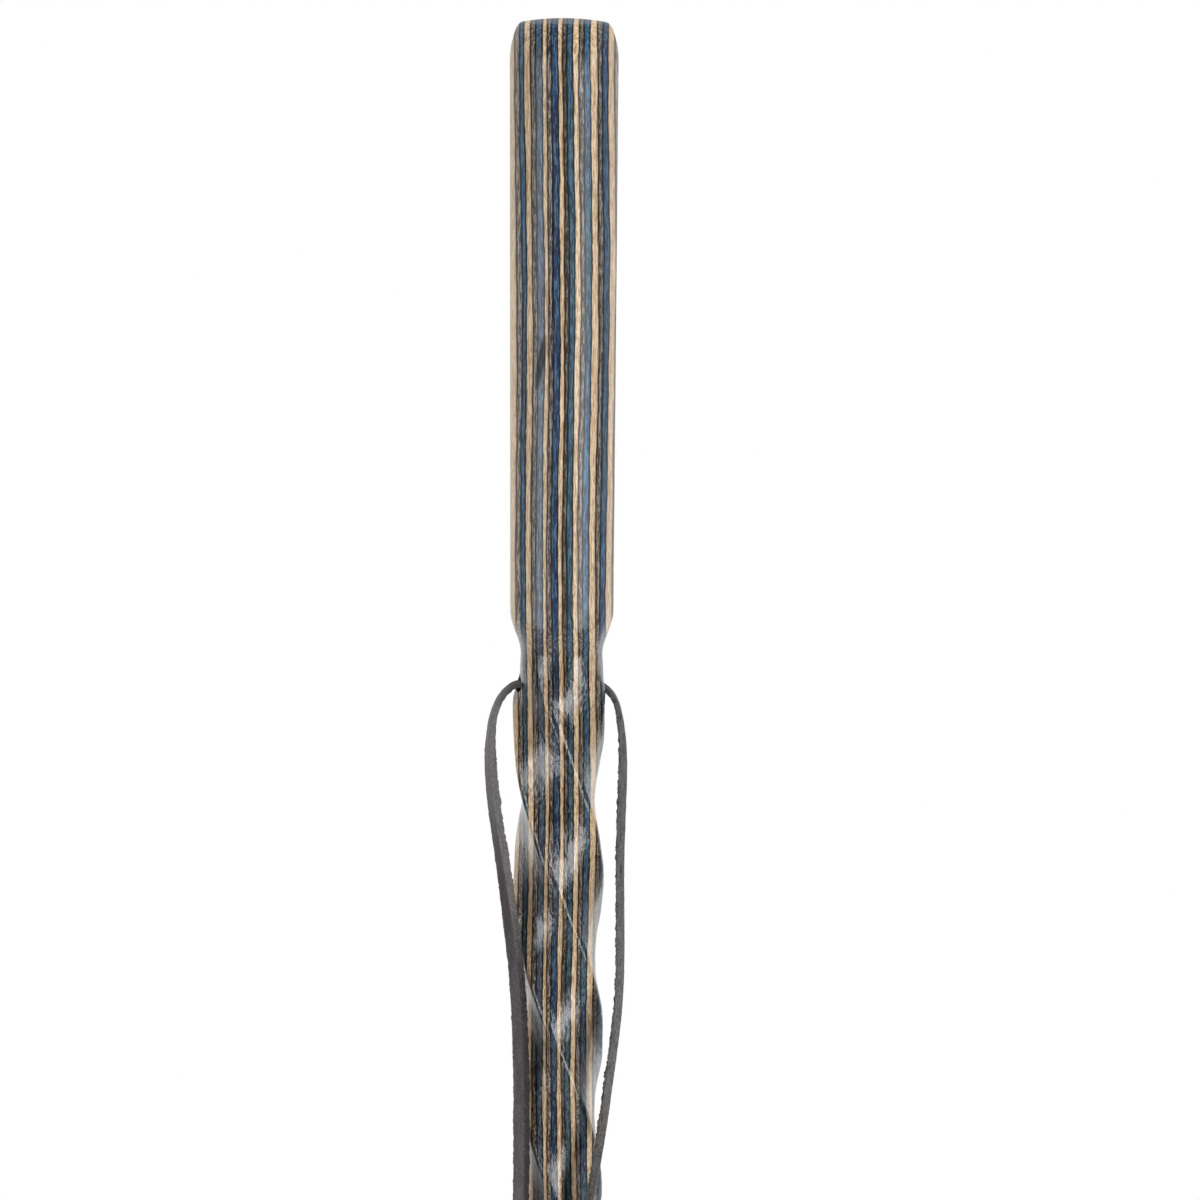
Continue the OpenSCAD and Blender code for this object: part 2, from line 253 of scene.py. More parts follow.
turn = np.linspace(0, 1, KNOT_RINGS)
tuck = np.clip((np.abs(turn - 0.5) - 0.4) / 0.1, 0, 1)
wound = 2 * math.pi * KNOT_TURNS * turn
wrap_r = WRAP_R - TUCK_IN * tuck ** 2 + WRAP_STRAY * np.sin(wound)
angle = wound + WRAP_START
wrap = np.stack([wrap_r * np.cos(angle), wrap_r * np.sin(angle), KNOT_HALF - 2 * KNOT_HALF * turn], axis=1)
lean = np.stack([WRAP_LEAN * np.cos(angle), WRAP_LEAN * np.sin(angle), np.ones_like(angle)], axis=1)
knot = sweep_lace("strap_knot_wraps", KNOT_PLACE + wrap, lean, 15, width=WRAP_W, thickness=WRAP_T)
print("knot size in mm:", [round(v / MM, 1) for v in knot.dimensions])

# %% [markdown]
# ## Shader arithmetic
#
# A material's numbers are easier to read as sums than as boxes and wires, so one small class wraps an output
# socket: arithmetic on it adds Math nodes, its method node adds any other, and short methods stand for the ones
# used most.

# %% Wires
class Wire:
    """An output socket in a node tree. Arithmetic on wires adds Math nodes."""

    def __init__(self, tree, socket=None):
        self.tree = tree
        self.socket = socket

    def node(self, kind, settings=None, inputs=None, output=0):
        """A node's type, its settings, its sockets' values or links, and the output to go on from."""
        made = self.tree.nodes.new(kind)
        for name, value in (settings or {}).items():
            setattr(made, name, value)
        for name, value in (inputs or {}).items():
            if isinstance(value, Wire):
                self.tree.links.new(value.socket, made.inputs[name])
            else:
                made.inputs[name].default_value = value
        return Wire(self.tree, made.outputs[output])

    def math(self, operation, *values):
        """A Math node of any operation."""
        return self.node("ShaderNodeMath", {"operation": operation}, dict(enumerate(values)))

    def __add__(self, other):
        return self.math("ADD", self, other)

    def __sub__(self, other):
        return self.math("SUBTRACT", self, other)

    def __rsub__(self, other):
        return self.math("SUBTRACT", other, self)

    def __mul__(self, other):
        return self.math("MULTIPLY", self, other)

    __radd__ = __add__
    __rmul__ = __mul__

    def step(self, low, high):
        """0 below low, 1 above high and smooth between."""
        return self.node("ShaderNodeMapRange", {"interpolation_type": "SMOOTHSTEP"},
                         {"Value": self, "From Min": low, "From Max": high})

    def blend(self, first, second):
        """The first colour where this is 0, the second where it is 1."""
        return self.node("ShaderNodeMix", {"data_type": "RGBA"}, {0: self, 6: first, 7: second}, 2)

    def tint(self, colour):
        """A colour made lighter or darker by this."""
        return self.node("ShaderNodeVectorMath", {"operation": "SCALE"}, {0: colour, 3: self})

    def attribute(self, name):
        """A number that the mesh carries."""
        return self.node("ShaderNodeAttribute", {"attribute_name": name}, output="Fac")

    def spots(self, place, size_mm, detail, roughness):
        """Noise from 0 to 1 with spots of about this size in x, y and z."""
        scaled = self.node("ShaderNodeMapping", {}, {"Vector": place, "Scale": [1 / (MM * s) for s in size_mm]})
        return self.node("ShaderNodeTexNoise", {}, {"Vector": scaled, "Scale": 1.0, "Detail": detail,
                                                   "Roughness": roughness})


def screen(red, green, blue):
    """A colour as it looks on a screen, 0 to 255, in the linear values that shaders take."""
    shares = [c / 255 for c in (red, green, blue)]
    return [c / 12.92 if c <= 0.04045 else ((c + 0.055) / 1.055) ** 2.4 for c in shares] + [1]


def new_finish(name, fixed, varied=None):
    """A material: fixed values of the shader, then what varied(start) links to its other sockets."""
    material = bpy.data.materials.new(name)
    material.use_nodes = True
    tree = material.node_tree
    shader = tree.nodes["Principled BSDF"]
    for socket, value in fixed.items():
        shader.inputs[socket].default_value = value
    for socket, wire in (varied(Wire(tree)) if varied else {}).items():
        tree.links.new(wire.socket, shader.inputs[socket])
    return material


def bump(start, height, distance_mm, strength):
    """A normal from a height."""
    return start.node("ShaderNodeBump", {}, {"Height": height, "Distance": distance_mm * MM, "Strength": strength})


print("shader arithmetic ready")

# %% [markdown]
# ## Charcoal leather
#
# The lace is dyed through. Its grain face is smooth with a faint sheen, and its cut edges and flesh side show
# fibres, paler on one edge than on the other. Near the hole the lace is darkened with painted shade, and further
# down one edge is darker, partly grime and partly painted shade. The swept mesh carries how far across and
# along the lace each point is, so the fibres stay on the edges wherever the lace rolls.

# %% Leather
# Lengths along the lace, in millimetres, over which the painted shade of the hole fades out, one edge darkens
# with grime and painted shade, and the pale edge dims
OUT_OF_HOLE_SHADE, GRIMY_AND_SHADED, DIM = (13, 26), (75, 115), (135, 185)


def leather_looks(start):
    """Looks of the lace, from how far across and along it each point is."""
    place = start.node("ShaderNodeTexCoord", output="Object")
    side = start.attribute("lace_x")
    depth = start.attribute("lace_y")
    cut = start.math("ABSOLUTE", side).step(LACE_W / 2 - 0.85, LACE_W / 2 - 0.35)
    flesh = (0 - depth).step(0.3, 0.9)
    rough = start.math("MAXIMUM", cut, flesh)
    pores = start.spots(place, (0.4, 0.4, 0.5), 3, 0.7)
    cloud = start.spots(place, (2.5, 2.5, 9), 2, 0.5)
    fibre = start.spots(place, (0.3, 0.3, 1.0), 4, 0.75)
    face = cloud.step(0.3, 0.7).blend(screen(60, 56, 58), screen(74, 69, 72))
    along = start.attribute("lace_along")
    # Further down one edge darkens: partly grime, partly painted shade
    grime_and_shade = along.step(*GRIMY_AND_SHADED)
    dark = fibre.step(0.4, 0.66).blend(grime_and_shade.blend(screen(92, 89, 88), screen(32, 30, 31)),
                                       grime_and_shade.blend(screen(120, 117, 116), screen(66, 63, 63)))
    pale = fibre.step(0.36, 0.64).blend(screen(82, 80, 79), screen(104, 102, 101))
    raw = side.step(-0.5, 0.5).blend((1 - 0.45 * along.step(*DIM)).tint(pale), dark)
    # Painted shade of the hole: the lace is darker near where it comes out
    hole_shade = 0.6 + 0.4 * along.step(*OUT_OF_HOLE_SHADE)
    grain = 1 + 0.14 * grime_and_shade + (0.5 + 0.4 * grime_and_shade) * (pores.step(0.35, 0.65) - 0.5)
    colour = (grain * hole_shade).tint(rough.blend(face, raw))
    height = pores * (1 - rough) * 0.5 + fibre * rough
    return {"Base Color": colour, "Roughness": 0.4 + 0.35 * rough,
            "Normal": bump(start, height, 0.12, 0.6)}


leather = new_finish("charcoal_leather", {"Specular IOR Level": 0.25}, leather_looks)
for piece in (strap_left, strap_right, knot, *tails):
    piece.data.materials.append(leather)
    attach(piece, "strap")
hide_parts("strap_lace")
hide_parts("strap_lace")
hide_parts("strap_knot")
for tail in tails:
    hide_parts("strap_tails")
print("lace lengths in m:", round(line_length(left_line) * MM, 4), round(line_length(right_line) * MM, 4))

# %% [markdown]
# ## The stick
#
# A turner would glue the veneers into a block, turn the grip round and carve the rest. The mesh follows the
# same order: the outline is drawn by extruding one vertex, and spun into a turned blank. The carving is then
# a sum for every vertex, because its four ridges turn steadily all the way down: each ring is turned a little
# further than the one above and drawn in between the ridges. The columns of the mesh so follow the ridges,
# and keep them crisp.

# %% Outline of the turned blank
STAFF_LEN = 1219
GRIP_R = 15.875
GRIP_END_Z = 1041
NECK_R = 12.5
TWIST_TOP_Z = 1025
TWIST_END_Z = 110
TAIL_END_Z = 10.5
DOME_R, CROWN_TOP, CROWN_RISE = 12, 0.45, 1
EDGE_DEPTH, TAPER_LEN, TAPER_IN = 3.85, 8.65, 1.6
SHOULDER_LEN = 14.5
RING_STEP = 2.0
GRIP_STEP = 2.0


def crown_points():
    """Radius and height down the crown: a dome, a rounded edge and a taper, each tangent to the next."""
    taper_r = GRIP_R - TAPER_IN
    dome_depth = CROWN_TOP + CROWN_RISE
    dome_slope, taper_slope = 2 * CROWN_RISE / DOME_R, 2 * TAPER_IN / TAPER_LEN
    corner_r = ((taper_r - taper_slope * (EDGE_DEPTH - dome_depth + dome_slope * DOME_R))
                / (1 - taper_slope * dome_slope))
    corner_depth = dome_depth + dome_slope * (corner_r - DOME_R)
    dome = [(DOME_R * t, CROWN_TOP + CROWN_RISE * t * t) for t in np.linspace(0, 1, 12)]
    edge = [((1 - t) ** 2 * DOME_R + 2 * t * (1 - t) * corner_r + t * t * taper_r,
             (1 - t) ** 2 * dome_depth + 2 * t * (1 - t) * corner_depth + t * t * EDGE_DEPTH)
            for t in np.linspace(0, 1, 10)[1:]]
    taper = [(GRIP_R - TAPER_IN * (1 - t) ** 2, EDGE_DEPTH + TAPER_LEN * t) for t in np.linspace(0, 1, 8)[1:]]
    return [(r, STAFF_LEN - depth) for r, depth in dome + edge + taper]


def run_down(r, top, bottom, step):
    """Points straight down a wall, the first left out."""
    count = max(1, round((top - bottom) / step))
    return [(r, top + (bottom - top) * i / count) for i in range(1, count + 1)]


shoulder = [(NECK_R + (GRIP_R - NECK_R) * (1 + math.cos(math.pi * t)) / 2, GRIP_END_Z - SHOULDER_LEN * t)
            for t in np.linspace(0, 1, 16)[1:]]
crown = crown_points()
blank_outline = (crown + run_down(GRIP_R, crown[-1][1], GRIP_END_Z, GRIP_STEP) + shoulder
                 + run_down(NECK_R, shoulder[-1][1], TAIL_END_Z, RING_STEP) + [(0, TAIL_END_Z)])
print("outline points:", len(blank_outline))

# %% Turn the blank
COLUMNS = 192


def new_piece(name, add, **size):
    """A primitive as the only thing selected, under its own name."""
    bpy.ops.object.select_all(action="DESELECT")
    add(**size)
    piece = bpy.context.object
    piece.name = piece.data.name = name
    return piece


def turn_on_lathe(name, outline, columns):
    """A turned piece: one vertex extruded along an outline of radius and height in millimetres, then spun."""
    piece = new_piece(name, bpy.ops.mesh.primitive_plane_add, size=MM)
    bpy.ops.object.mode_set(mode="EDIT")
    bpy.ops.mesh.select_all(action="SELECT")
    bpy.ops.mesh.merge(type="CENTER")
    bpy.ops.transform.translate(value=(outline[0][0] * MM, 0, outline[0][1] * MM))
    for (r, z), (next_r, next_z) in zip(outline, outline[1:]):
        move = ((next_r - r) * MM, 0, (next_z - z) * MM)
        bpy.ops.mesh.extrude_region_move(TRANSFORM_OT_translate={"value": move})
    bpy.ops.mesh.select_all(action="SELECT")
    bpy.ops.mesh.spin(steps=columns, angle=2 * math.pi, center=(0, 0, 0), axis=(0, 0, 1))
    bpy.ops.mesh.select_all(action="SELECT")
    bpy.ops.mesh.remove_doubles(threshold=0.005 * MM)
    bpy.ops.mesh.normals_make_consistent(inside=False)
    bpy.ops.object.mode_set(mode="OBJECT")
    return piece


stick = turn_on_lathe("stick", blank_outline, COLUMNS)
print("blank:", len(stick.data.vertices), "vertices")

# %% Carve the twist
FLAT_HALF = 11.45
RIDGE_HALF = 14.3
RIDGE_ROUND = 2.4
LOBE_PITCH = 53
FIRST_RIDGE_Z = 1006
NECK_FADE = 14
TAIL_FADE = 40
# The carver's hand: slow unevenness and tool ripples in millimetres, and wobble of the ridges in radians
HAND_MM = 0.1
RIPPLE_MM = 0.022
WOBBLE = 0.006
# Waves that each is made of: how many round the stick, millimetres to a radian along it, and phase
HAND_WAVES = ((3, 9.7, 0), (5, -6.1, 1.3), (2, 23, 0))
RIPPLE_WAVES = ((5, 1.3, 0), (-9, 0.95, 1), (13, 1.9, 0))
WOBBLE_WAVES = ((0, 5.3, 0), (0, 3.1, 2))
# The twist starts a little to the left, which fades away downwards, and the neck is fuller on the right of the hole
LEFT_MM, LEFT_START, LEFT_OVER, LEFT_FADE = 0.95, 8, 24, 160
FULL_MM, FULL_UP, FULL_REACH = 1.1, 1, 6.8

ridge_arm = RIDGE_HALF - RIDGE_ROUND
facet_r = ((ridge_arm ** 2 + FLAT_HALF ** 2 - math.sqrt(2) * ridge_arm * FLAT_HALF - RIDGE_ROUND ** 2)
           / (2 * FLAT_HALF - math.sqrt(2) * ridge_arm - 2 * RIDGE_ROUND))
facet_back = facet_r - FLAT_HALF


def read_points(piece):
    """A mesh's vertices in millimetres, as columns x, y and z."""
    flat = np.empty(len(piece.data.vertices) * 3, np.float32)
    piece.data.vertices.foreach_get("co", flat)
    return flat.astype(float).reshape(-1, 3) / MM


def write_points(piece, points):
    """Moves a mesh's vertices to points in millimetres."""
    piece.data.vertices.foreach_set("co", (points * MM).astype(np.float32).ravel())
    piece.data.update()


def ease(t):
    """Smooth step from 0 to 1."""
    t = np.clip(t, 0, 1)
    return t * t * (3 - 2 * t)


def section(angle):
    """Radius of the carved section: four gently bulging facets that meet in rounded ridges."""
    off = np.abs((angle + math.pi / 4) % (math.pi / 2) - math.pi / 4)
    reach = math.pi / 4 - off
    facet = -facet_back * np.cos(reach) + np.sqrt(facet_r ** 2 - (facet_back * np.sin(reach)) ** 2)
    bound = RIDGE_ROUND ** 2 - (ridge_arm * np.sin(off)) ** 2
    ridge = ridge_arm * np.cos(off) + np.sqrt(np.maximum(bound, 0))
    centre = -facet_back * math.sqrt(0.5)
    to_ridge = math.atan2(-centre, ridge_arm - centre)
    meet = math.atan2(RIDGE_ROUND * math.sin(to_ridge), ridge_arm + RIDGE_ROUND * math.cos(to_ridge))
    return np.where(off < meet, ridge, facet)


def waves(table, angle, z):
    """Sum of waves round and along the stick."""
    return sum(np.sin(count * angle + z / length + phase) for count, length, phase in table)


def carve(points):
    """The blank's points after carving by hand."""
    r, column, z = np.hypot(points[:, 0], points[:, 1]), np.arctan2(points[:, 1], points[:, 0]), points[:, 2]
    share = np.minimum(ease((TWIST_TOP_Z - z) / NECK_FADE), ease((z - TWIST_END_Z) / TAIL_FADE))
    wall = r > NECK_R - 0.01
    turned = np.clip(z, TWIST_END_Z, TWIST_TOP_Z)
    angle = column + np.radians(90 * (FIRST_RIDGE_Z - turned) / LOBE_PITCH)
    angle += share * WOBBLE * waves(WOBBLE_WAVES, angle, z)
    hand = HAND_MM * waves(HAND_WAVES, angle, z) + RIPPLE_MM * waves(RIPPLE_WAVES, angle, z)
    carved = np.where(wall, r + share * (section(column) + hand - r), r)
    aside = -LEFT_MM * ease((TWIST_TOP_Z + LEFT_START - z) / LEFT_OVER)
    aside *= np.exp(np.minimum(0, z - TWIST_TOP_Z) / LEFT_FADE)
    x, y = carved * np.cos(angle) + aside, carved * np.sin(angle)
    x += FULL_MM * np.exp(-((z - HOLE_Z - FULL_UP) / FULL_REACH) ** 2) * np.clip(x / 10, 0, 1)
    return np.stack([x, y, z], axis=1)


write_points(stick, carve(read_points(stick)))
print("facets bulge on a radius of", round(facet_r, 1), "mm")

# %% [markdown]
# ## The strap hole
#
# A drill goes through the neck from side to side. A Boolean with a cylinder does the same, and leaves the wall
# of the hole as part of the stick, so that each veneer keeps its share of it.

# %% Drill the hole
HOLE_D = 6.35
HOLE_COLUMNS = 48
DRILL_LEN = 60

drill = new_piece("drill", bpy.ops.mesh.primitive_cylinder_add, vertices=HOLE_COLUMNS, radius=HOLE_D / 2 * MM,
                  depth=DRILL_LEN * MM, location=(0, 0, HOLE_Z * MM), rotation=(0, math.pi / 2, 0))
pick(stick)
hole = stick.modifiers.new("strap_hole", "BOOLEAN")
hole.object = drill
hole.operation = "DIFFERENCE"
hole.solver = "EXACT"
bpy.ops.object.modifier_apply(modifier=hole.name)
bpy.data.objects.remove(drill)
print("drilled stick:", len(stick.data.vertices), "vertices")

# %% [markdown]
# ## The veneers
#
# The stripes are the edges of the veneers, so they are cut as sheets: a Bisect along each glue line, with its
# fill as the glued face. Real glue lines stray by a few tenths of a millimetre. Before each cut the stick is
# pushed sideways by the glue line's own slow wave, cut straight, and let go, which leaves a wavy cut.

# %% Glue lines
VENEERS = 20
VENEER_T = 1.5875
# Mean stray of each glue line to the right, in millimetres
STRAY = (0.3, 0.3, 0.1, 0.35, 0.2, 0.62, 0.3, 0.15, 0.45, 0.27, -0.1, 0.05, 0.1, -0.1, 0.2, 0.65, 0.45, 0.6, 0.9)
# Size and length of each glue line's own waves, and of the sway that the whole stack shares
WAVES = ((0.1, 85), (0.07, 29), (0.04, 9))
SWAY, SWAY_LENGTH, SWAY_Z = 0.34, 154, 1135
# How far the whole stack leans to the right at its top, at its neck and on the twist
LEAN_TOP, LEAN_NECK, LEAN_TWIST = -0.1, 0.45, 0.6
# How far a wave shifts from front to back, in radians, and millimetres to a radian of that
DEPTH_SHIFT, DEPTH_LENGTH = 0.8, 7

draw = np.random.default_rng(20)
wave_phase = draw.uniform(0, 2 * math.pi, (VENEERS + 1, len(WAVES), 2))
wave_stretch = draw.uniform(0.75, 1.3, (VENEERS + 1, len(WAVES)))


def stray(i, points):
    """How far glue line i strays to the right at each point, in millimetres."""
    y, z = points[:, 1], points[:, 2]
    lean = np.interp(z, (GRIP_END_Z - 40, GRIP_END_Z, STAFF_LEN), (LEAN_TWIST, LEAN_NECK, LEAN_TOP))
    shift = STRAY[i - 1] + lean + SWAY * np.cos(2 * math.pi * (z - SWAY_Z) / SWAY_LENGTH)
    for k, (size, length) in enumerate(WAVES):
        phase, depth_phase = wave_phase[i, k]
        shift = shift + size * np.sin(2 * math.pi * z / (length * wave_stretch[i, k]) + phase
                                      + DEPTH_SHIFT * np.sin(y / DEPTH_LENGTH + depth_phase))
    return shift


def glue_line(i, points):
    """x of glue line i at each point. The first and last lie outside the stick."""
    if i in (0, VENEERS):
        return np.full(len(points), (i * 2 / VENEERS - 1) * (GRIP_R + 1))
    return (i - VENEERS / 2) * VENEER_T + stray(i, points)


def cut_at(piece, i, keep_left):
    """Cuts a piece along glue line i and keeps one side, with its glued face and sharp edges."""
    points = read_points(piece)
    points[:, 0] -= stray(i, points)
    write_points(piece, points)
    pick(piece)
    bpy.ops.object.mode_set(mode="EDIT")
    bpy.ops.mesh.select_all(action="SELECT")
    bpy.ops.mesh.bisect(plane_co=((i - VENEERS / 2) * VENEER_T * MM, 0, 0), plane_no=(1, 0, 0), use_fill=True,
                        clear_outer=keep_left, clear_inner=not keep_left, threshold=1e-7)
    bpy.ops.mesh.mark_sharp()
    bpy.ops.object.mode_set(mode="OBJECT")
    points = read_points(piece)
    points[:, 0] += stray(i, points)
    write_points(piece, points)


print("glue lines:", len(STRAY))

# %% Cut the stack into veneers
DYES = ("natural", "grey", "blue")
# How light each veneer came out of its dye: dark below 0, and light above
TONES = (-0.3, 1.5, 0.4, -0.4, -0.3, -0.3, -0.7, 0.3, -0.4, -0.4, -1.7, -0.3, 0, 0.2, 0.4, 0.1, 0.7, 0, -0.1, 2.0)
# How far each dye faded, from 0 to 1
FADES = (0, 0.2, 0.2, 0.1, 0.1, 0.6, 0.2, 0.5, 0, 0.2, 0.2, 0.1, 0, 0.4, 0, 0, 0.3, 0.2, 0, 0)
# Which of its first two shades each dye leans to, from -1 to 1
HUES = (0, 0, 1, 0, 0, 0, 0, 0, -0.8, 0, 0, 0.8, 0, 0, 0, 0, 0, -0.2, 0, 0)
# Bends sharper than this, in degrees, stay sharp
CREASE = 35

plies = []
rest = stick
for i in range(VENEERS):
    name = f"ply_{i + 1:02d}_{DYES[i % 3]}"
    if i < VENEERS - 1:
        ply = rest.copy()
        ply.data = rest.data.copy()
        bpy.context.scene.collection.objects.link(ply)
        cut_at(ply, i + 1, True)
        cut_at(rest, i + 1, False)
    else:
        ply = rest
    ply.name = ply.data.name = "veneer_" + name[4:]
    points = read_points(ply)
    left, right = glue_line(i, points), glue_line(i + 1, points)
    own = {"sheet": i + 1.0, "tone": TONES[i], "fade": FADES[i], "hue": HUES[i]}
    carry(ply, from_left=points[:, 0] - left, from_right=right - points[:, 0],
          **{key: np.full(len(points), value) for key, value in own.items()})
    pick(ply)
    bpy.ops.object.shade_smooth_by_angle(angle=math.radians(CREASE), keep_sharp_edges=True)
    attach(ply, "staff")
    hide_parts(name)
    "veneer_" + DYES[i % 3]
    plies.append(ply)
print("veneers:", len(plies), "faces:", sum(len(p.data.polygons) for p in plies))

# %% [markdown]
# ## Dyed and varnished wood
#
# Each dye soaks in unevenly, so a veneer drifts between a few shades along its length, with streaks of fibre
# and short dark pores. Some veneers have faded, and some lean to one shade. At a glue line the dyes bleed into
# each other in a dark, ragged edge. The three finishes share one recipe and differ in their colours. Noise
# stretched along the stick gives the fibres; the veneer's own number shifts it, so that no two veneers match. The
# grip is rubbed to a satin and has one dark flaw. The twist keeps its full gloss, under which the dyes look
# darker, as wet wood does.

# %% Veneer finishes
GLUE = screen(24, 22, 23)
# The flaw: x and z of its middle, half its width and length in millimetres, and how far it tilts
FLAW_PLACE, FLAW_SIZE, FLAW_TILT = (-6.3, 1120), (1.1, 8), 1.1
# Roughness of the gloss, and what the satin, the fibres and the flaw add to it
GLOSS, SATIN, FIBROUS, FLAWED = 0.03, 0.29, 0.06, 0.3
COAT = 0.15
# How far the noise of one veneer lies from that of the next, in y and z
NOISE_Y, NOISE_Z = 0.37, 1.71


def flaw_at(across, height, grain):
    """1 in the flaw of the grip and 0 outside it, broken up by a grain."""
    up = (height - FLAW_PLACE[1] * MM) * (1 / MM / FLAW_SIZE[1])
    aside = (across - FLAW_PLACE[0] * MM) * (1 / MM / FLAW_SIZE[0]) - FLAW_TILT * up
    return (1 - (up * up + aside * aside).step(0.3, 1.5)) * (0.3 + 0.7 * grain.step(0.88, 1.02))


def veneer_looks(shades, faded, specks_and_glints, speck_share, edges, bleed_mm, core_mm, wet):
    """Looks of a veneer: three shades, a faded one, dark specks, light specks partly painted as glints, glued
    edges, tint under gloss.
    """
    def looks(start):
        place = start.node("ShaderNodeTexCoord", output="Object")
        sheet, tone = start.attribute("sheet"), start.attribute("tone")
        shift = start.node("ShaderNodeCombineXYZ", {}, {"Y": sheet * NOISE_Y, "Z": sheet * NOISE_Z})
        own = start.node("ShaderNodeVectorMath", {"operation": "ADD"}, {0: place, 1: shift})
        across, height = (start.node("ShaderNodeSeparateXYZ", {}, {"Vector": place}, axis) for axis in "XZ")
        satin = height.step(TWIST_TOP_Z * MM, (GRIP_END_Z + 4) * MM)
        drift = start.spots(own, (6, 6, 34), 2, 0.5)
        patch = start.spots(own, (3, 3, 20), 3, 0.6)
        fibre = start.spots(own, (0.38, 0.38, 9), 3, 0.65)
        fleck = start.spots(own, (0.3, 0.3, 3), 2, 0.7)
        wrinkle = start.spots(place, (1.1, 1.1, 1.8), 2, 0.55)
        base = (drift + 0.25 * start.attribute("hue")).step(0.38, 0.62).blend(shades[0], shades[1])
        base = (patch + 0.13 * tone).step(0.5, 0.68).blend(base, shades[2])
        base = start.attribute("fade").blend(base, faded)
        # Dark specks are pores and fibres. Light specks are partly pale fibres and partly painted glints of the
        # varnish.
        for streak, dark, light in ((fibre, (0.41, 0.46), (0.55, 0.6)), (fleck, (0.42, 0.46), (0.56, 0.6))):
            base = (speck_share * (1 - streak.step(*dark))).blend(base, specks_and_glints[0])
            base = (speck_share * streak.step(*light)).blend(base, specks_and_glints[1])
        base = (1 + 0.18 * tone).tint(base)
        flaw = flaw_at(across, height, fibre + fleck)
        base = flaw.blend(base, GLUE)
        ragged = 0.5 * fleck + 0.3 * fibre - 0.4
        for side, edge, bleed in zip(("from_left", "from_right"), edges, bleed_mm):
            inward = start.attribute(side)
            base = (0.9 - 0.9 * (inward + ragged).step(0.05, bleed)).blend(base, edge)
            base = (1 - (inward + 0.4 * ragged).step(core_mm / 2, core_mm * 1.5)).blend(base, GLUE)
        tint = satin.blend([*wet, 1], (1, 1, 1, 1))
        base = start.node("ShaderNodeVectorMath", {"operation": "MULTIPLY"}, {0: base, 1: tint})
        relief = 0.14 * (fibre + fleck) + wrinkle * (1 - satin)
        return {"Base Color": base, "Roughness": GLOSS + SATIN * satin + FIBROUS * fibre + FLAWED * flaw,
                "Coat Weight": COAT - COAT * satin, "Normal": bump(start, relief, 0.2, 1.0)}
    return looks


VARNISH = {"Specular IOR Level": 0.42, "Coat Roughness": 0.04}
finishes = {
    "natural": new_finish("natural_veneer", VARNISH, veneer_looks(
        shades=(screen(198, 171, 137), screen(208, 182, 150), screen(220, 198, 170)), faded=screen(184, 158, 128),
        specks_and_glints=(screen(150, 116, 76), screen(232, 212, 184)), speck_share=0.65,
        edges=(screen(116, 100, 80), screen(136, 108, 74)), bleed_mm=(0.25, 0.55), core_mm=0.14,
        wet=(0.85, 0.83, 0.8))),
    "grey": new_finish("grey_veneer", VARNISH, veneer_looks(
        shades=(screen(78, 73, 70), screen(93, 87, 83), screen(111, 104, 99)), faded=screen(96, 84, 74),
        specks_and_glints=(screen(38, 35, 33), screen(156, 149, 143)), speck_share=0.95,
        edges=(screen(56, 48, 38), screen(54, 52, 54)), bleed_mm=(0.6, 0.45), core_mm=0.22,
        wet=(0.82, 0.78, 0.74))),
    "blue": new_finish("blue_veneer", VARNISH, veneer_looks(
        shades=(screen(35, 56, 98), screen(36, 84, 94), screen(56, 102, 142)), faded=screen(94, 93, 106),
        specks_and_glints=(screen(27, 41, 63), screen(86, 120, 146)), speck_share=0.85,
        edges=(screen(42, 46, 58), screen(36, 38, 44)), bleed_mm=(0.5, 0.55), core_mm=0.22,
        wet=(0.9, 0.73, 0.61)))}
for i, ply in enumerate(plies):
    ply.data.materials.clear()
    ply.data.materials.append(finishes[DYES[i % 3]])
print("finishes:", list(finishes))

# %% [markdown]
# ## The rubber ferrule
#
# A moulded cup pushed over the end of the stick, with flexing rings, a flared foot and a ringed tread. It is
# round, so it is turned like the blank, from one outline that goes up the outside and down the bore.

# %% Ferrule
FERRULE_H = 46
FERRULE_FLOOR = 9
FOOT_R, FOOT_H = 19.5, 5
BORE_R = 12.55
RIM_R = 15.75
RING_OUT = 1.1
FERRULE_RINGS = 3
TREAD_DEPTH = 1.4
# Inner and outer radius of each groove in the tread, as shares of the foot's
TREAD_GROOVES = ((0.28, 0.4), (0.56, 0.68))
FOOT_ROUND, RIM_ROUND = 1.7, 1.2
FERRULE_COLUMNS = 128
FLARE_Z = FERRULE_FLOOR + FOOT_H


def round_corner(corner, start, end, steps=5):
    """Points of a smooth bend from start to end, drawn towards the corner."""
    a, b, c = (np.array(p, float) for p in (start, corner, end))
    return [tuple((1 - t) ** 2 * a + 2 * t * (1 - t) * b + t * t * c) for t in np.linspace(0, 1, steps)]


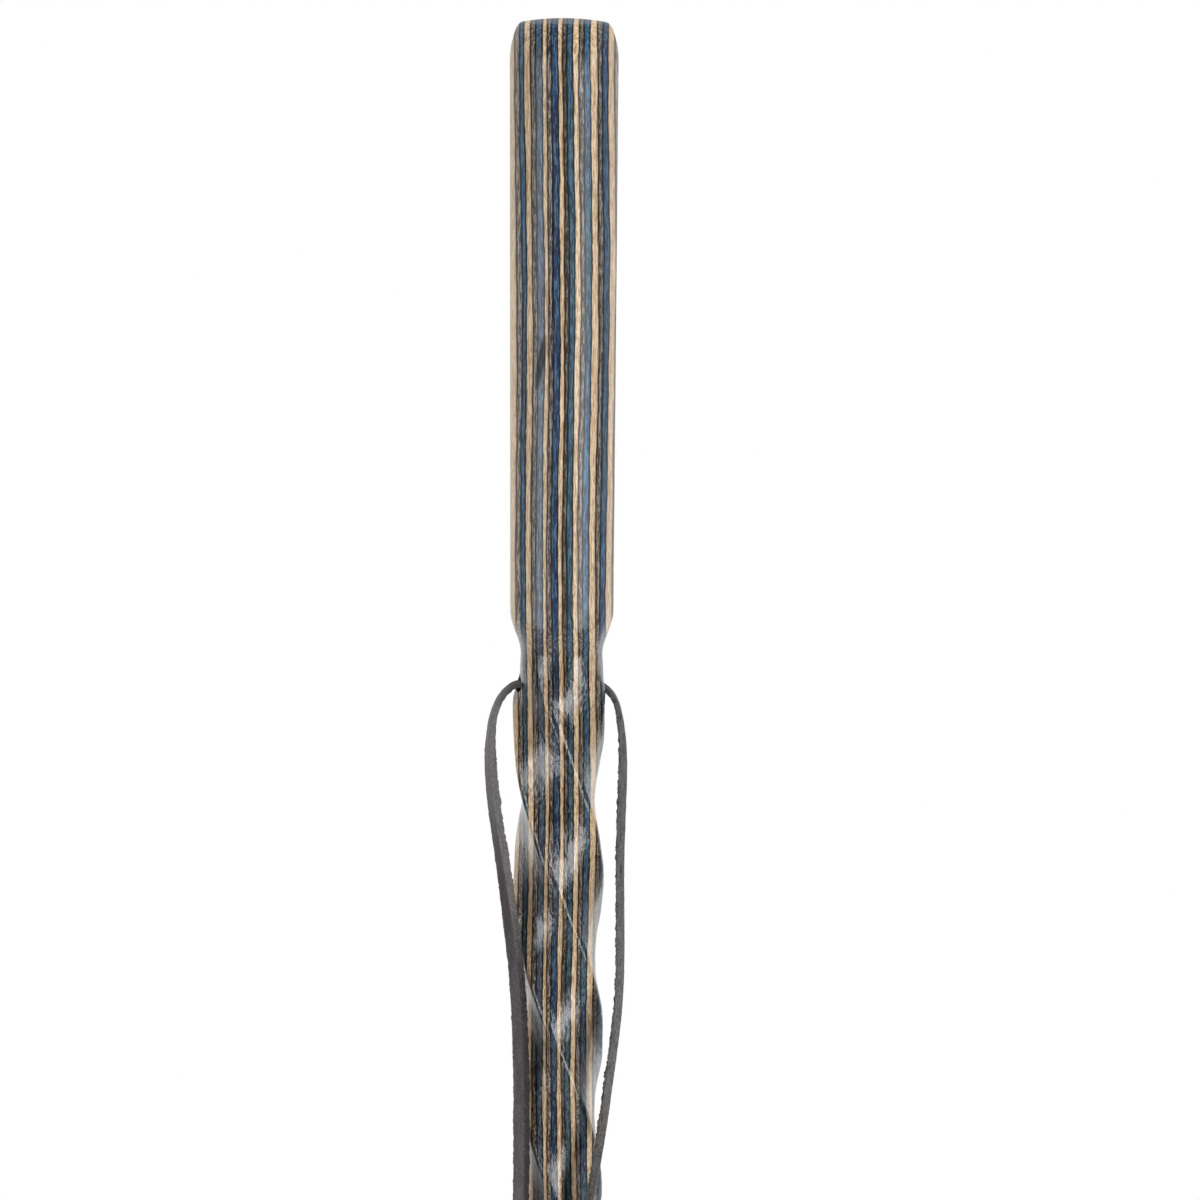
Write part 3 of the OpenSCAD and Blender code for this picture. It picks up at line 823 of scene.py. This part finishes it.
def ferrule_outline():
    """Radius and height from the middle of the tread, round the outside, and down the bore."""
    points = [(0, 0)]
    for inner, outer in TREAD_GROOVES:
        r0, r1 = inner * FOOT_R, outer * FOOT_R
        points += round_corner((r0, 0), (r0 - 0.4, 0), (r0, 0.4), 4)
        points += round_corner((r0, TREAD_DEPTH), (r0, TREAD_DEPTH - 0.3), (r0 + 0.3, TREAD_DEPTH), 3)
        points += round_corner((r1, TREAD_DEPTH), (r1 - 0.3, TREAD_DEPTH), (r1, TREAD_DEPTH - 0.3), 3)
        points += round_corner((r1, 0), (r1, 0.4), (r1 + 0.4, 0), 4)
    points += round_corner((FOOT_R, 0), (FOOT_R - FOOT_ROUND, 0), (FOOT_R, FOOT_ROUND), 7)
    points += round_corner((FOOT_R, FOOT_H), (FOOT_R, FOOT_H - 1.2), (FOOT_R - 0.9, FOOT_H + 0.1), 4)
    points += round_corner((RIM_R, FOOT_H + 0.4), (FOOT_R - 1.1, FOOT_H + 0.15), (RIM_R, FLARE_Z), 9)
    step = (FERRULE_H - FLARE_Z) / (FERRULE_RINGS + 1)
    for i in range(1, FERRULE_RINGS + 1):
        z = FLARE_Z + step * i
        points += [(RIM_R + RING_OUT * (1 + math.cos(math.pi * t)) / 2, z + t * step / 3)
                   for t in np.linspace(-1, 1, 11)]
    points += round_corner((RIM_R, FERRULE_H), (RIM_R, FERRULE_H - RIM_ROUND), (RIM_R - RIM_ROUND, FERRULE_H), 6)
    points += round_corner((BORE_R, FERRULE_H), (BORE_R + 0.6, FERRULE_H), (BORE_R, FERRULE_H - 0.6), 4)
    return points + [(BORE_R, FERRULE_FLOOR), (0, FERRULE_FLOOR)]


ferrule = turn_on_lathe("ferrule_rubber_cup", ferrule_outline(), FERRULE_COLUMNS)
close_and_smooth(ferrule, angle=50)
print("ferrule:", len(ferrule.data.polygons), "faces")


# %% Rubber and washer finishes
def rubber_looks(start):
    """Looks of the ferrule: dull, and dusty towards the foot."""
    place = start.node("ShaderNodeTexCoord", output="Object")
    grain = start.spots(place, (0.5, 0.5, 0.5), 3, 0.6)
    scuff = start.spots(place, (6, 6, 3), 4, 0.65)
    height = start.node("ShaderNodeSeparateXYZ", {}, {"Vector": place}, "Z")
    low = 1 - height.step(0.002, 0.011)
    dust = scuff.step(0.42, 0.7) * (0.25 + 0.6 * low)
    return {"Base Color": dust.blend(screen(44, 43, 44), screen(98, 92, 86)),
            "Roughness": 0.58 + 0.25 * dust, "Normal": bump(start, grain + scuff * 0.6, 0.1, 0.35)}


def steel_looks(start):
    """Looks of the washer: brushed steel."""
    place = start.node("ShaderNodeTexCoord", output="Object")
    brushed = start.spots(place, (6, 0.15, 0.4), 3, 0.6)
    return {"Base Color": brushed.blend(screen(150, 150, 152), screen(186, 186, 188)),
            "Roughness": 0.28 + 0.2 * brushed}


rubber = new_finish("ferrule_rubber", {"Specular IOR Level": 0.4}, rubber_looks)
steel = new_finish("washer_steel", {"Metallic": 1.0}, steel_looks)
ferrule.data.materials.append(rubber)
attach(ferrule, "staff")
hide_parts("rubber_ferrule")
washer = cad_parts["ferrule_washer"]
washer.data.materials.clear()
washer.data.materials.append(steel)
print("rubber and steel ready")

# %% [markdown]
# ## The studio
#
# A pale floor under the foot that fades into the white background, a tall soft panel on either side in front, one
# above, one that fills the back, and two behind that brighten the rims. The background is plain white to the
# camera. In reflections it is light behind and lighter below, and the camera's side of the room is dark, so that
# the varnish mirrors little more than the panels and each dye shows as it was mixed.

# %% Floor
FLOOR_R = 1.4
# Metres from the foot over which the floor fades to white for the camera
FADE_FROM, FADE_TO = 0.45, 1.3

floor = new_piece("floor", bpy.ops.mesh.primitive_circle_add, vertices=96, radius=FLOOR_R, fill_type="NGON")
floor_finish = new_finish("pale_floor", {"Base Color": screen(244, 244, 243), "Roughness": 0.8})
near = Wire(floor_finish.node_tree, floor_finish.node_tree.nodes["Principled BSDF"].outputs[0])
spot = near.node("ShaderNodeTexCoord", output="Object")
far = near.node("ShaderNodeVectorMath", {"operation": "LENGTH"}, {0: spot}, "Value").step(FADE_FROM, FADE_TO)
looked_at = near.node("ShaderNodeLightPath", output="Is Camera Ray")
white = near.node("ShaderNodeEmission", {}, {"Color": (1, 1, 1, 1), "Strength": 1.0})
faded = near.node("ShaderNodeMixShader", {}, {0: far * looked_at, 1: near, 2: white})
near.tree.links.new(faded.socket, near.tree.nodes["Material Output"].inputs["Surface"])
floor.data.materials.append(floor_finish)
print("floor radius in m:", FLOOR_R)

# %% Lamps
# Name, place, width and height in metres, watts, and whether the varnish mirrors it
LAMPS = (
    ("left", (-0.88, -0.75, 0.76), 0.42, 0.88, 7.4, True),
    ("right", (0.84, -0.8, 0.76), 0.42, 0.88, 10.0, True),
    ("top", (0.0, -0.2, 2.3), 0.8, 0.8, 15.0, False),
    ("back", (0.0, 1.35, 1.25), 0.9, 1.2, 11.0, False),
    ("rim_left", (-0.75, 0.85, 0.85), 0.3, 1.2, 0.7, True),
    ("rim_right", (0.75, 0.85, 0.85), 0.3, 1.2, 1.2, True))
AIM = Vector((0, 0, 1.0))

for name, place, width, height, watts, mirrored in LAMPS:
    bpy.ops.object.light_add(type="AREA", location=place)
    lamp = bpy.context.object
    lamp.name = name + "_panel"
    lamp.data.shape = "RECTANGLE"
    lamp.data.size, lamp.data.size_y = width, height
    lamp.data.energy = watts
    lamp.visible_glossy = mirrored
    lamp.rotation_euler = (AIM - Vector(place)).to_track_quat("-Z", "Y").to_euler()
print("panels:", len(LAMPS))

# %% World
# Light from all round, then what the varnish mirrors of the camera's side, and what it gains behind and below
AMBIENT = 0.25
DARK_SIDE = 0.1
HIGH_BEHIND = 0.42
LOW_BEHIND = 0.3
# Where behind starts, as y of the direction, and where below ends, as its z
BEHIND, BELOW = (-0.1, 0.35), (-0.12, 0.02)

studio = bpy.data.worlds.new("studio")
bpy.context.scene.world = studio
studio.use_nodes = True
sky = Wire(studio.node_tree)
seen = sky.node("ShaderNodeLightPath", output="Is Camera Ray")
mirrored = sky.node("ShaderNodeLightPath", output="Is Glossy Ray")
through = sky.node("ShaderNodeLightPath", output="Is Transmission Ray")
plain = sky.math("MAXIMUM", seen, through)
heading = sky.node("ShaderNodeTexCoord", output="Generated")
behind = sky.node("ShaderNodeSeparateXYZ", {}, {"Vector": heading}, "Y").step(*BEHIND)
below = 1 - sky.node("ShaderNodeSeparateXYZ", {}, {"Vector": heading}, "Z").step(*BELOW)
mirror = DARK_SIDE + behind * (HIGH_BEHIND + LOW_BEHIND * below)
strength = plain + (1 - plain) * (mirrored * mirror + (1 - mirrored) * AMBIENT)
backdrop = studio.node_tree.nodes["Background"]
backdrop.inputs["Color"].default_value = (1, 1, 1, 1)
studio.node_tree.links.new(strength.socket, backdrop.inputs["Strength"])

# %% Colours as they are written
bpy.context.scene.view_settings.view_transform = "Standard"
print("studio ready")
